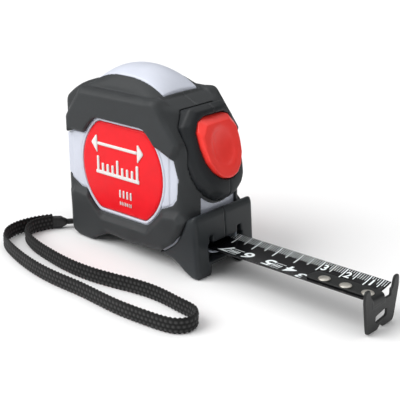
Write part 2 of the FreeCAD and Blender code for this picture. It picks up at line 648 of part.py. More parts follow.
def wrist_strap():
    """Webbing loop on its edge: an upright rectangle swept along the route."""
    wire, radii = rounded_path(STRAP_ROUTE, STRAP_LIFT)
    start, ahead = (Vector(x, y, STRAP_LIFT) for x, y in STRAP_ROUTE[:2])
    across = (ahead - start).normalize().cross(Vector(0, 0, 1)) * (size("strap_gauge") / 2)
    rise = Vector(0, 0, size("strap_width"))
    corners = [start - across, start + across, start + across + rise, start - across + rise]
    profile = Part.makePolygon(corners + corners[:1])
    shape = wire.makePipeShell([profile], True, False)
    solid_feature("wrist_strap", shape)
    expected = wire.Length * size("strap_gauge") * size("strap_width")
    print("strap length %.1f mm, volume ratio %.3f" % (wire.Length, shape.Volume / expected))
    print("strap radii", " ".join("%.1f" % r for r in radii))


def strap_fittings():
    """Moulded crimp on the webbing's two ends, the cord that leaves it and the pin in the case corner."""
    (x0, y0), (x1, y1) = CRIMP
    heading = math.degrees(math.atan2(y1 - y0, x1 - x0))
    length = math.hypot(x1 - x0, y1 - y0)
    place = Placement(Vector(x0, y0, NECK_HEIGHT), Rotation(Vector(0, 0, 1), heading))
    crimp = new_body("strap_crimp", place)
    profile = mirrored([(1.1, 2.6), (1.7, 2.0), (1.7, -2.0), (1.1, -2.6)])
    along_x(crimp, profile, 1.6, length - 0.05)
    taper = [(0.0, -1.3), (1.7, -2.6), (1.7, 2.6), (0.0, 1.3)]
    slab(crimp, outlined(taper), 0.0, 1.5, -1)
    slab(crimp, outlined(taper), 0.0, 1.5, 1)
    wire, radii = rounded_path(NECK_ROUTE, NECK_HEIGHT)
    start, ahead = (Vector(x, y, NECK_HEIGHT) for x, y in NECK_ROUTE[:2])
    disc = Part.Wire(Part.makeCircle(size("neck_radius"), start, ahead - start))
    solid_feature("strap_neck", wire.makePipeShell([disc], True, False))
    print("neck length %.1f mm, radii %s" % (wire.Length, " ".join("%.1f" % r for r in radii)))
    pin = new_body("strap_pin")
    upright(pin, round_at(STRAP_PIN, "rivet_radius", 0.1), -33.0, -28.3)


wrist_strap()
strap_fittings()


# ---------------------------------------------------------------- checks and export

doc.recompute()
for item in doc.Objects:
    if "Invalid" in item.State or "Error" in item.State:
        raise RuntimeError("%s did not build: %s" % (item.Name, item.State))
os.makedirs("parts", exist_ok=True)
for node in nodes:
    if node.Shape.isNull() or not node.Shape.isValid():
        raise RuntimeError(node.Label + " has no valid shape")
for node in nodes:
    node.Shape.exportStep("parts/%s.step" % node.Label)
    box = node.Shape.BoundBox
    print("%-20s %d solid(s) %9.1f mm3  x %.1f..%.1f y %.1f..%.1f z %.1f..%.1f" % (
        node.Label, len(node.Shape.Solids), node.Shape.Volume, box.XMin, box.XMax, box.YMin, box.YMax,
        box.ZMin, box.ZMax))
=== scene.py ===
"""Looks of the pocket tape measure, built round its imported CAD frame.

Lengths inside this file are millimetres in the case's own frame, unless a name ends in _m:
the origin is on the reel axis, +X is the way the blade is pulled and +Y is the belt clip's side.
Names with left in them are on the -Y side, as the CAD's are, and names with right on the +Y side.
The case leans back on its feet, so place() turns those points into the scene's metres.
"""
import json
import math

import bmesh
import bpy
import numpy as np
from mathutils import Matrix, Vector


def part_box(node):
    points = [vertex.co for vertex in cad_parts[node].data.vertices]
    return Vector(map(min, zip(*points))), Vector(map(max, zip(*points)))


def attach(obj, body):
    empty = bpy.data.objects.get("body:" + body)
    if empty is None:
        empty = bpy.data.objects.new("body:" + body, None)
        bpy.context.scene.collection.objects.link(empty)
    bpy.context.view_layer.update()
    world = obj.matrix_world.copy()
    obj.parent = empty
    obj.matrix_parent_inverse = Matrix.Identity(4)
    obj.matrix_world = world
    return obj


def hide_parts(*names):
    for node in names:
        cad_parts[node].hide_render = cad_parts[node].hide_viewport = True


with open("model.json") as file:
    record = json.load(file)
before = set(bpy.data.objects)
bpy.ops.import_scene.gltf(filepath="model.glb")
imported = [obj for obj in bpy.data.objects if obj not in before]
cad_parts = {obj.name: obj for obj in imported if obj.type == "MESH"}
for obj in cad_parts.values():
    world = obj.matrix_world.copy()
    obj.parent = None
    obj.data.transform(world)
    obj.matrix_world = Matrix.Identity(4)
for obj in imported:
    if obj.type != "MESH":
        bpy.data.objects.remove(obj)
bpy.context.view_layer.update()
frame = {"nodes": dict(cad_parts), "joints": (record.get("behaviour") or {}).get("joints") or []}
joints = {joint["name"]: joint for joint in frame["joints"]}

# ---------------------------------------------------------------- the case's frame

pull = joints["blade_slide"]["axis"]
LEAN = math.atan2(pull[2], pull[0])                     # nose-up angle of the case
HUB = 1000 * (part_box("arbor")[0].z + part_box("arbor")[1].z) / 2
CASE = Matrix.Translation((0, 0, HUB / 1000)) @ Matrix.Rotation(-LEAN, 4, "Y") @ Matrix.Scale(0.001, 4)
CASE_TURN = CASE.to_3x3() * 1000


def place(point):
    return CASE @ Vector(point)


def sole(x, lift=0.0):
    """Height in the case's frame of the point at x that is lift above the floor."""
    return (lift - HUB - x * math.sin(LEAN)) / math.cos(LEAN)


# ---------------------------------------------------------------- camera

AZIMUTH, ELEVATION = math.radians(41.4), math.radians(19.7)
DISTANCE, ASIDE, DOWN = 399.8, 19.8, -15.9              # from the reel axis, then sideways and down
LENS, SENSOR = 88.3, 36.0

back = Vector((math.sin(AZIMUTH) * math.cos(ELEVATION), -math.cos(AZIMUTH) * math.cos(ELEVATION),
               math.sin(ELEVATION)))
right = Vector((math.cos(AZIMUTH), math.sin(AZIMUTH), 0))
up = back.cross(right)
camera = bpy.data.objects.new("camera", bpy.data.cameras.new("camera"))
bpy.context.scene.collection.objects.link(camera)
camera.data.lens, camera.data.sensor_width = LENS, SENSOR
camera.data.clip_start, camera.data.clip_end = 0.02, 10
turned = CASE_TURN @ Matrix((right, up, back)).transposed()
camera.matrix_world = Matrix.Translation(place(back * DISTANCE + right * ASIDE + up * DOWN)) @ turned.to_4x4()
bpy.context.scene.camera = camera


# ---------------------------------------------------------------- materials

def finish(name, colour, rough=0.5, mottle=0.08, mottle_size=6.0, grain=0.15, grain_size=0.35, edge_highlight=0.0,
           metallic=0.0, specular=0.5, sheen=0.0, brushed=None):
    """A moulded, painted or metal finish: mottled colour, fine surface grain, varied gloss and a painted
    highlight on convex edges.
    """
    made = bpy.data.materials.new(name)
    made.use_nodes = True
    made.diffuse_color = (*colour, 1)
    nodes, links = made.node_tree.nodes, made.node_tree.links
    shader = nodes["Principled BSDF"]
    for socket, value in (("Metallic", metallic), ("Specular IOR Level", specular), ("Sheen Weight", sheen)):
        shader.inputs[socket].default_value = value
    where = nodes.new("ShaderNodeTexCoord").outputs["Object"]
    if brushed:
        stretch = nodes.new("ShaderNodeMapping")
        stretch.inputs["Scale"].default_value = brushed
        links.new(where, stretch.inputs["Vector"])
        where = stretch.outputs["Vector"]

    def noise(size, detail):
        node = nodes.new("ShaderNodeTexNoise")
        node.inputs["Scale"].default_value = 1000 / size
        node.inputs["Detail"].default_value = detail
        links.new(where, node.inputs["Vector"])
        return node.outputs["Fac"]

    def span(value, low, high):
        node = nodes.new("ShaderNodeMapRange")
        node.inputs["From Min"].default_value, node.inputs["From Max"].default_value = 0.3, 0.7
        node.inputs["To Min"].default_value, node.inputs["To Max"].default_value = low, high
        links.new(value, node.inputs["Value"])
        return node.outputs["Result"]

    def mixed(amount, first, second):
        node = nodes.new("ShaderNodeMix")
        node.data_type = "RGBA"
        links.new(amount, node.inputs["Factor"])
        for socket, value in ((node.inputs[6], first), (node.inputs[7], second)):
            if isinstance(value, tuple):
                socket.default_value = (*value, 1)
            else:
                links.new(value, socket)
        return node.outputs[2]

    coarse, fine = noise(mottle_size, 3.0), noise(grain_size, 2.0)
    shades = [tuple(min(1.0, c * (1 + way * mottle)) for c in colour) for way in (-1, 1)]
    tint = mixed(span(coarse, 0.0, 1.0), *shades)
    # painted highlight: convex edges, found by pointiness, get a lighter base colour
    if edge_highlight:
        edge = nodes.new("ShaderNodeMapRange")
        edge.inputs["From Min"].default_value, edge.inputs["From Max"].default_value = 0.51, 0.60
        edge.inputs["To Max"].default_value = edge_highlight
        links.new(nodes.new("ShaderNodeNewGeometry").outputs["Pointiness"], edge.inputs["Value"])
        tint = mixed(edge.outputs["Result"], tint, tuple(min(1.0, 0.06 + c * 1.8) for c in colour))
    links.new(tint, shader.inputs["Base Color"])
    links.new(span(coarse, rough * 0.9, min(1.0, rough * 1.12)), shader.inputs["Roughness"])
    bump = nodes.new("ShaderNodeBump")
    bump.inputs["Strength"].default_value = grain
    bump.inputs["Distance"].default_value = 0.0001
    links.new(fine, bump.inputs["Height"])
    links.new(bump.outputs["Normal"], shader.inputs["Normal"])
    return made


RUBBER = finish("rubber", (0.030, 0.033, 0.035), rough=0.55, grain=0.5, grain_size=0.3, edge_highlight=0.3, mottle=0.12,
                specular=0.32)
NOSE = finish("nose_plastic", (0.018, 0.022, 0.025), rough=0.42, grain=0.3, grain_size=0.3, edge_highlight=0.2,
              specular=0.4)
# painted shade: the armour's rubber made darker for the button surround on the shaded front of the case
POD_RUBBER_SHADED = finish("pod_rubber_painted_shade", (0.012, 0.014, 0.016), rough=0.5, grain=0.5, grain_size=0.3, edge_highlight=0.3,
                    specular=0.3)
SHELL = finish("shell_abs", (0.63, 0.66, 0.75), rough=0.35, mottle=0.02, grain=0.12, grain_size=0.5)
BADGE = finish("badge_red", (0.86, 0.006, 0.014), rough=0.34, mottle=0.04, grain=0.1, specular=0.25)
EMBLEM = finish("emblem_white", (0.82, 0.80, 0.78), rough=0.45, mottle=0.03, grain=0.2)
BUTTON = finish("button_red", (1.0, 0.045, 0.035), rough=0.36, mottle=0.05, grain=0.2, specular=0.4)
BLADE = finish("blade_lacquer", (0.004, 0.004, 0.005), rough=0.22, mottle=0.2, grain=0.1, specular=0.35)
INK = finish("blade_ink", (0.86, 0.92, 0.94), rough=0.5, mottle=0.08, mottle_size=1.5, grain=0.1)
HOOK = finish("hook_black", (0.008, 0.009, 0.009), rough=0.42, mottle=0.15, grain=0.5, grain_size=0.25,
              edge_highlight=0.4, specular=0.4)
RIVET = finish("rivet_steel", (0.55, 0.53, 0.48), rough=0.42, metallic=0.85, mottle=0.12, mottle_size=1.2,
               grain=0.3)
STEEL = finish("bright_steel", (0.60, 0.61, 0.62), rough=0.28, metallic=1.0, mottle=0.05, grain=0.25,
               brushed=(1.0, 6.0, 6.0))
SPRING = finish("spring_steel", (0.25, 0.26, 0.29), rough=0.3, metallic=1.0, mottle=0.08,
                brushed=(6.0, 1.0, 6.0))
GUIDE = finish("guide_plastic", (0.30, 0.33, 0.38), rough=0.45, mottle=0.05, grain=0.2)
NYLON = finish("washer_nylon", (0.75, 0.73, 0.66), rough=0.5, mottle=0.04, grain=0.2)
REEL = finish("reel_plastic", (0.05, 0.05, 0.055), rough=0.45, mottle=0.1, grain=0.3)
CRIMP = finish("crimp_plastic", (0.012, 0.012, 0.012), rough=0.5, mottle=0.2, grain=0.4, grain_size=0.2)


def webbing_finish():
    """Near-black yarn with a painted highlight: raised stitches, told by a point attribute of the strap, are
    coloured lighter.
    """
    made = finish("webbing", (0.005, 0.005, 0.005), rough=0.75, grain=0.6, grain_size=0.12, sheen=0.05,
                  specular=0.3)
    nodes, links = made.node_tree.nodes, made.node_tree.links
    shader = nodes["Principled BSDF"]
    raised = nodes.new("ShaderNodeAttribute")
    raised.attribute_name = "stitch_highlight"
    tint = nodes.new("ShaderNodeMix")
    tint.data_type = "RGBA"
    # painted highlight: the lighter colour given to the raised stitches
    tint.inputs[7].default_value = (0.060, 0.060, 0.060, 1)
    links.new(raised.outputs["Fac"], tint.inputs["Factor"])
    links.new(shader.inputs["Base Color"].links[0].from_socket, tint.inputs[6])
    links.new(tint.outputs[2], shader.inputs["Base Color"])
    return made


WEBBING = webbing_finish()


# ---------------------------------------------------------------- making pieces

def piece(name, points, faces, finish_, body, replaces=(), smooth=True, placed=False):
    """A mesh piece from points in the case's frame, or in the scene's metres if placed."""
    mesh = bpy.data.meshes.new(name)
    mesh.from_pydata([tuple(p) for p in points], [], [tuple(f) for f in faces])
    if not placed:
        mesh.transform(CASE)
    mesh.materials.append(finish_)
    mesh.polygons.foreach_set("use_smooth", [smooth] * len(mesh.polygons))
    mesh.update()
    made = bpy.data.objects.new(name, mesh)
    bpy.context.scene.collection.objects.link(made)
    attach(made, body)
    if replaces:
        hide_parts(*replaces)
    return made


def outline_distance(px, pz, outline):
    """Signed distance from each point to a closed outline, negative inside."""
    nearest, inside = None, False
    for (ax, az), (bx, bz) in zip(outline, outline[1:] + outline[:1]):
        ex, ez = bx - ax, bz - az
        if ex == ez == 0:
            continue
        wx, wz = px - ax, pz - az
        along = np.clip((wx * ex + wz * ez) / (ex * ex + ez * ez), 0, 1)
        apart = (wx - ex * along) ** 2 + (wz - ez * along) ** 2
        nearest = apart if nearest is None else np.minimum(nearest, apart)
        if az != bz:
            inside = inside ^ (((az > pz) != (bz > pz)) & (px < ex * (pz - az) / ez + ax))
    return np.where(inside, -1, 1) * np.sqrt(nearest)


def rounded(outline, radius, steps=4):
    """The outline with each corner turned into an arc; radius is one number or one per corner."""
    radii = radius if isinstance(radius, (list, tuple)) else [radius] * len(outline)
    made = []
    for i, corner in enumerate(outline):
        here = Vector(corner)
        before, after = Vector(outline[i - 1]) - here, Vector(outline[(i + 1) % len(outline)]) - here
        half = before.angle(after) / 2
        reach = min(radii[i] / math.tan(half), 0.48 * before.length, 0.48 * after.length)
        if reach < 0.05 or half > 1.5:
            made.append(tuple(here))
            continue
        start, end = here + before.normalized() * reach, here + after.normalized() * reach
        for k in range(steps + 1):
            t = k / steps
            made.append(tuple(start * (1 - t) ** 2 + here * (2 * t * (1 - t)) + end * t ** 2))
    return made


def both(a, b, soft=0.0):
    """Where two solids overlap, with the edge between them rounded over about soft."""
    blend = np.maximum(soft - np.abs(a - b), 0) if soft else 0
    return np.maximum(a, b) + (blend * blend / (4 * soft) if soft else 0)


def either(a, b, soft=0.0):
    return -both(-a, -b, soft)


def bevelled(a, b, size):
    """Where two solids overlap, with the edge between them cut off flat."""
    return both(both(a, b), (a + b + size) / math.sqrt(2), 0.5)


def span(value, low, high):
    return np.maximum(low - value, value - high)


CELL_CORNERS = [(i, j, k) for i in (0, 1) for j in (0, 1) for k in (0, 1)]
CELL_EDGES = [(a, b) for a in CELL_CORNERS for b in CELL_CORNERS
              if sum(b) - sum(a) == 1 and sum(abs(p - q) for p, q in zip(a, b)) == 1]


def skin(solid, low, high, step):
    """Points and faces of the surface where solid(x, y, z) is zero, inside a box."""
    axes = [np.arange(a - step, b + 2 * step, step) for a, b in zip(low, high)]
    shape = tuple(len(axis) for axis in axes)
    x, y, z = axes[0][:, None, None], axes[1][None, :, None], axes[2][None, None, :]
    value = np.broadcast_to(solid(x, y, z), shape).copy()
    for axis in range(3):                                # the box's own faces stay outside
        for end in (0, -1):
            value[tuple(end if i == axis else slice(None) for i in range(3))] = step
    inside = value < 0

    def corner(grid, offset):
        return grid[tuple(slice(o, n - 1 + o) for o, n in zip(offset, shape))]
    count = sum(corner(inside, c).astype(np.int8) for c in CELL_CORNERS)
    cells = np.argwhere((count > 0) & (count < 8))
    index = np.full(count.shape, -1)
    index[tuple(cells.T)] = np.arange(len(cells))
    total, hits = np.zeros((len(cells), 3)), np.zeros((len(cells), 1))
    for a, b in CELL_EDGES:
        va, vb = (value[tuple((cells + c).T)] for c in (a, b))
        crossed = (va < 0) != (vb < 0)
        part = np.where(crossed, va / np.where(crossed, va - vb, 1), 0)
        total += np.where(crossed[:, None], np.array(a) + part[:, None] * (np.array(b) - np.array(a)), 0)
        hits += crossed[:, None]
    points = np.array([axis[0] for axis in axes]) + step * (cells + total / hits)
    faces = []
    for axis in range(3):
        one, two = (axis + 1) % 3, (axis + 2) % 3
        start = tuple(slice(0, n - 1) if i == axis else slice(1, n - 1) for i, n in enumerate(shape))
        end = tuple(slice(1, n) if i == axis else slice(1, n - 1) for i, n in enumerate(shape))
        for first, flip in ((True, False), (False, True)):
            crossed = np.argwhere((inside[start] == first) & (inside[end] != first))
            crossed += np.array([0 if i == axis else 1 for i in range(3)])
            around = []
            for d1, d2 in ((0, 0), (1, 0), (1, 1), (0, 1)):
                shift = np.zeros(3, int)
                shift[one], shift[two] = d1, d2
                around.append(index[tuple((crossed - shift).T)])
            quads = np.stack(around if not flip else around[::-1], axis=1)
            faces.append(quads)
    return points, np.concatenate(faces).tolist()


def moulded(name, solid, low, high, step, finish_, body, replaces=()):
    points, faces = skin(solid, low, high, step)
    return piece(name, points, faces, finish_, body, replaces)


# ---------------------------------------------------------------- wrist strap

STRAP_ROUTE = [(-37.6, -21.4), (-40.2, -26.6), (-41.6, -33.0), (-41.6, -39.5), (-38.8, -45.6), (-33.0, -50.0),
               (-24.5, -53.0), (-14.0, -55.6), (-3.0, -57.2), (8.0, -57.4), (18.0, -56.7), (28.0, -57.0),
               (38.5, -57.3), (47.5, -56.5), (55.0, -55.5), (61.1, -54.3), (64.4, -52.2), (66.1, -48.7),
               (65.6, -44.8), (63.1, -41.8), (59.3, -40.7), (53.0, -40.5), (46.0, -39.7), (38.5, -39.8),
               (30.5, -41.2), (21.5, -43.8), (12.0, -45.8), (1.0, -46.4), (-11.0, -45.3), (-22.5, -43.4),
               (-31.0, -40.4), (-36.2, -36.6), (-38.4, -31.6), (-37.9, -26.8), (-36.3, -22.3)]
STRAP_WIDTH = 1000 * (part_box("wrist_strap")[1].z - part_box("wrist_strap")[0].z)
STRAP_GAUGE = 1.3
STRAP_MIDDLE = 500 * (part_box("wrist_strap")[1].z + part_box("wrist_strap")[0].z)
NECK_ROUTE = [(-26.5, -11.6), (-31.0, -12.6), (-33.2, -16.9)]
NECK_HEIGHT = 2.7
STITCH = 1.75                                            # from one stitch of the webbing to the next
STITCH_PROUD, EDGE_SINK, EDGE_ROLL = 0.36, 0.15, 0.5     # a stitch's height; edges sit lower over a width
SCALLOP, STRAP_ROWS = 0.20, 28                           # waves of the strap's two edges; points across


def route_curve(name, route, height):
    """An open NURBS curve through the scene whose control points are the route's, in metres."""
    curve = bpy.data.curves.new(name, "CURVE")
    curve.dimensions = "3D"
    spline = curve.splines.new("NURBS")
    spline.points.add(len(route) - 1)
    for point, (x, y) in zip(spline.points, route):
        point.co = (x / 1000, y / 1000, height / 1000, 1)
    spline.order_u = 3
    spline.use_endpoint_u = True
    spline.resolution_u = 24
    made = bpy.data.objects.new(name, curve)
    bpy.context.scene.collection.objects.link(made)
    return made


def curve_points(name, route, height, step):
    """Evenly spaced points in millimetres along the NURBS curve of a route."""
    guide = route_curve(name, route, height)
    read = bpy.data.meshes.new_from_object(guide.evaluated_get(bpy.context.evaluated_depsgraph_get()))
    points = 1000 * np.array([v.co for v in read.vertices])
    bpy.data.objects.remove(guide)
    run = np.concatenate([[0], np.cumsum(np.linalg.norm(np.diff(points, axis=0), axis=1))])
    at = np.linspace(0, run[-1], max(2, round(run[-1] / step)) + 1)
    return np.stack([np.interp(at, run, points[:, i]) for i in range(3)], axis=1), at


def webbing():
    """Flat woven strap on its edge, with rows of stitches on both faces and scalloped edges."""
    middle, at = curve_points("strap_guide", STRAP_ROUTE, STRAP_MIDDLE, STITCH / 5)
    ahead = np.gradient(middle, axis=0)
    ahead /= np.linalg.norm(ahead, axis=1)[:, None]
    across = np.stack([-ahead[:, 1], ahead[:, 0], np.zeros(len(ahead))], axis=1)
    half = STRAP_WIDTH / 2 - 0.22                        # room for the scallops
    heights = np.linspace(-half, half, STRAP_ROWS)
    ring = [(1, h) for h in heights] + [(-1, h) for h in heights[::-1]]
    points, raised = [], []
    for side, height in ring:
        row = (height + half) / STITCH
        along = np.abs(np.sin(math.pi * (at / STITCH + 0.5 * math.floor(row))))
        stitch = along * abs(math.sin(math.pi * row))
        edge = min(1.0, (half - abs(height)) / EDGE_ROLL)
        out = side * (STRAP_GAUGE / 2 - STITCH_PROUD + EDGE_SINK * edge + STITCH_PROUD * stitch * edge)
        scallop = SCALLOP * np.sin(2 * math.pi * at / STITCH) * (1 - edge) * np.sign(height)
        points.append(middle + across * out[:, None] + np.array([0, 0, 1.0]) * (height + scallop)[:, None])
        raised.append(stitch * edge)
    count, around = len(middle), len(ring)
    points = np.stack(points, axis=1).reshape(-1, 3)
    faces = [(i * around + j, i * around + (j + 1) % around, (i + 1) * around + (j + 1) % around,
              (i + 1) * around + j) for i in range(count - 1) for j in range(around)]
    faces += [tuple(range(around - 1, -1, -1)), tuple(range((count - 1) * around, count * around))]
    made = piece("strap_webbing", points / 1000, faces, WEBBING, "case", ["wrist_strap"],
                 placed=True)
    # painted highlight: how much lighter each point of the strap is coloured, most on the raised stitches
    stitch_highlight = made.data.attributes.new("stitch_highlight", "FLOAT", "POINT")
    stitch_highlight.data.foreach_set("value", np.stack(raised, axis=1).ravel().astype(np.float32) ** 2)
    return made, middle, at


strap, strap_line, strap_run = webbing()

neck = route_curve("strap_neck_cord", NECK_ROUTE, NECK_HEIGHT)
neck.data.bevel_depth = 0.0012
neck.data.bevel_resolution = 4
neck.data.use_fill_caps = True
neck.data.materials.append(CRIMP)
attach(neck, "case")
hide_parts("strap_neck")

CRIMP_ENDS = ((-33.2, -16.9), (-37.0, -21.9))


def crimp():
    """Moulded sleeve over the strap's two ends, tapered towards the cord, with two shallow ribs."""
    (x0, y0), (x1, y1) = CRIMP_ENDS
    length = math.hypot(x1 - x0, y1 - y0)
    turn = Matrix.Translation((x0, y0, NECK_HEIGHT)) @ Matrix.Rotation(math.atan2(y1 - y0, x1 - x0), 4, "Z")

    def solid(x, y, z):
        waist = np.interp(x, (0, 1.6, 2.4, length), (1.35, 1.9, 2.5, 2.6))
        thick = np.interp(x, (0, 1.6, length), (1.2, 1.6, 1.65))
        rib = 0.12 * np.maximum(0, np.cos(2 * math.pi * x / 1.6)) * (x > 2.2)
        return both(both(np.abs(y) - thick + 0.1 - rib, np.abs(z) - waist, 1.2), span(x, 0.02, length), 0.5)
    points, faces = skin(solid, (0, -2, -3), (length, 2, 3), 0.22)
    points = [turn @ Vector(p) / 1000 for p in points]
    return piece("strap_crimp_sleeve", points, faces, CRIMP, "case", ["strap_crimp"],
                 placed=True)


sleeve = crimp()


# ---------------------------------------------------------------- case shells and armour

STATIONS = (0.0, 5.5, 10.5, 14.0, 17.0)                  # distances from the mid-plane
DOME, DOME_RADIUS = (-0.5, -8.0), 48.5                   # rounds off the rear of the roof
COLLAR = 30.6                                            # height of the flat ledge round the crown
CROWN, CROWN_MIDDLE, CROWN_HALF = 9.6, -4.0, 14.2        # the crown that rises out of it
CROWN_FRONT, CROWN_REAR = 22.0, 19.0
PANEL_REAR, PANEL_FRONT, PANEL_HALF = -22.0, 16.4, 9.7
SLOPE = (0.806, 0.592)                                   # normal of the sloping upper front
UNDERSIDE, CASE_EDGE = -29.2, 1.0                        # lowest face, and how round the edges are
SKIN, SIDE_WALL, SKIN_HALF, BUMPER_HALF = 1.6, 16.4, 17.0, 19.0
PANEL_WINDOW = [(-36.0, 9.0), (-27.2, 11.7), (20.7, 12.7), (27.7, 9.8), (29.9, 2.8), (29.3, -5.3),
                (27.2, -8.2), (22.0, -10.6), (-23.8, -11.8), (-28.3, -9.3), (-36.0, -4.4)]
UPPER_BUMPER = [(-31.2, 9.2), (-31.2, 17.7), (-22.5, 30.0), (13.8, 30.8), (19.2, 31.6), (31.5, 16.3),
                (30.3, 12.8), (27.7, 9.8), (20.7, 12.7), (-27.2, 11.7)]
LOWER_BUMPER = [(-31.2, -14.8), (-27.5, -11.0), (-18.4, -12.2), (-10.4, -20.1), (13.7, -20.0), (22.4, -10.9),
                (30.6, -9.9), (34.8, -13.8), (32.2, -19.8), (28.9, -24.2), (23.4, -28.2), (17.0, -28.7),
                (5.8, -29.4), (-8.6, -28.6), (-11.5, -30.2), (-15.6, -32.4), (-17.6, sole(-17.6)),
                (-25.2, sole(-25.2)), (-28.4, -31.9), (-29.8, -29.0), (-30.8, -19.9)]
NOSE_OUTLINE = [(34.3, -12.6), (38.2, -10.0), (39.2, -13.0), (40.6, -33.6), (40.4, sole(40.4)),
                (36.6, sole(36.6)), (32.9, -34.0), (30.1, -32.0), (26.9, -30.4), (22.6, -29.7), (19.0, -29.6),
                (22.6, -27.5), (27.9, -23.6), (31.2, -19.4)]
BADGE_RADIUS, BADGE_FLAT = 22.4, 18.4
BUTTON_ORIGIN, BUTTON_TILT = (34.88, 13.15), math.radians(18)
POD_HALF = [(9.5, 16.5), (14.0, 10.5), (14.4, 3.0), (14.4, -4.0), (13.4, -9.0), (11.6, -13.5), (9.0, -16.9),
            (5.0, -19.6), (1.5, -20.3)]
POD_TOP, POD_CROWN, POD_CHIN = 3.1, 3.4, 0.04            # its face on the mid-plane, and how it falls away
BUTTON_FOOT = [(5.2, 12.3), (8.6, 10.9), (10.3, 7.0), (10.1, 1.0), (9.2, -4.5), (7.2, -8.8), (4.2, -11.7),
               (1.2, -12.6)]
BUTTON_RIM = [(3.0, 8.9), (6.5, 8.7), (9.3, 5.2), (9.5, 0.0), (9.0, -4.5), (7.0, -8.7), (4.0, -11.4),
              (1.2, -12.2)]
BUTTON_TOP, FACET_SLOPE = 4.0, 1.23                      # face of the button, and fall of its upper facets
SKIRT_LOW, SKIRT_RISE, SKIRT_MIDDLE, SKIRT_HALF = -8.6, 5.0, -1.0, 10.0    # rubber's edge under the pod
SCREWS = [(-24.5, 16.5), (17.0, 24.0), (-23.0, -19.0), (23.5, -19.5)]


def smooth_profile(values):
    """The stations' values as a smooth curve over the distance from the mid-plane, carried on past them."""
    ys = np.arange(-26, 26.01, 0.25)
    slope = (values[-1] - values[-2]) / (STATIONS[-1] - STATIONS[-2])
    stations, heights = list(STATIONS) + [27.0], list(values) + [values[-1] + 10 * slope]
    line = np.interp(np.abs(ys), stations, heights)
    window = np.hanning(19) / np.hanning(19).sum()
    line[9:-9] = np.convolve(line, window, "valid")
    return lambda y: np.interp(y, ys, line)


roof_drop = smooth_profile((0.0, 0.4, 1.4, 2.6, 3.4))
rear_face = smooth_profile((34.4, 34.3, 34.1, 33.2, 31.0))
slope_reach = smooth_profile((37.4, 37.2, 36.5, 35.6, 34.4))
front_face = smooth_profile((37.6, 37.4, 36.4, 34.0, 30.4))


def roof(x, y, z):
    """Distance above the roof: a crown rising out of a flat collar, and the facet in front of it."""
    reach = np.where(x > CROWN_MIDDLE, CROWN_FRONT, CROWN_REAR)
    along = np.clip(np.abs(x - CROWN_MIDDLE) / reach, 0, 1)
    across = np.maximum(1 - (y / CROWN_HALF) ** 2, 0)
    rise = CROWN * across ** 0.685 * (1 - along ** 2.5)
    ledge = either(COLLAR, 31.3 - 0.447 * (x - 16.5), 1.0)
    grade_x = CROWN * across ** 0.685 * 2.5 * along ** 1.5 / reach
    grade_y = CROWN * (1 - along ** 2.5) * 1.37 * np.abs(y) / CROWN_HALF ** 2
    grade_y = grade_y * np.maximum(across, 0.05) ** -0.315
    return (z - ledge - rise) / np.sqrt(1 + grade_x ** 2 + grade_y ** 2)


def case_form(x, y, z, inset):
    """The case without its side faces, moved in by inset."""
    rear_roof = np.hypot(x - DOME[0], z - DOME[1]) - DOME_RADIUS + roof_drop(y) + inset
    slope = SLOPE[0] * x + SLOPE[1] * z - slope_reach(y) + inset
    top = both(both(roof(x, y, z) + inset, rear_roof, CASE_EDGE), slope, CASE_EDGE)
    ends = both(-x - rear_face(y) + inset, x - front_face(y) + inset)
    return both(both(top, ends, CASE_EDGE * 1.5), UNDERSIDE + inset * 0.7 - z, CASE_EDGE)


def button_axes(x, y, z):
    """Across, up the slope and outwards, measured from the middle of the button's seat."""
    dx, dz = x - BUTTON_ORIGIN[0], z - BUTTON_ORIGIN[1]
    lean, rise = math.sin(BUTTON_TILT), math.cos(BUTTON_TILT)
    return y, rise * dz - lean * dx, rise * dx + lean * dz


def mirrored(half):
    return half + [(-x, y) for x, y in reversed(half)]


def badge_form(x, z, grow):
    return both(np.hypot(x, z) - BADGE_RADIUS - grow, np.abs(z) - BADGE_FLAT - grow, 0.8)


def screw_holes(x, z, radius):
    return np.minimum.reduce([np.hypot(x - sx, z - sz) for sx, sz in SCREWS]) - radius


def button_shape(half, top, shoulder):
    """A closed outline from its half: crisp at the top two corners and the shoulder, and round below."""
    radii = [top, top, shoulder] + [4] * (len(half) - 3)
    return rounded(mirrored(half), radii + radii[::-1])


POD = rounded(mirrored(POD_HALF), 1.5)
BUTTON_SEAT = button_shape(BUTTON_FOOT, 0.5, 0.8)
BUTTON_FACE = button_shape(BUTTON_RIM, 0.3, 0.5)
WINDOW = rounded(PANEL_WINDOW, 0.8)
UPPER = rounded(UPPER_BUMPER, [1.2, 1.2, 1.2, 1.2, 4.0, 1.5, 1.2, 1.2, 1.2, 1.2])
LOWER = rounded(LOWER_BUMPER, [1.2] * 2 + [1.5] * 6 + [2] + [3] * 9 + [2, 2, 3])
NOSE_SHAPE = rounded(NOSE_OUTLINE, [0.8, 1.2, 2.5, 4, 1.2, 1.5, 3, 3, 3, 3, 1, 3, 3, 3])
SOCKET = 0.1                                             # play round each part let into the rubber
BUMPER_ROOT = 12.5                                       # how near the mid-plane the bumpers start
PANEL_FLOOR = 26.0                                       # the roof opening goes down to here
NOSE_SOCKET = 16.0                                       # the rubber is cut for the nose only beyond this
POD_DEPTH = 9.0                                          # how far the pod goes in behind its seat
WEDGE_BACK, WEDGE_HALF = 28.0, 10.3                      # the opening in the rubber under the pod
SCREW_WELL, WELL_FLOOR = 2.6, 12.6                       # radius round a screw, and the well's bottom


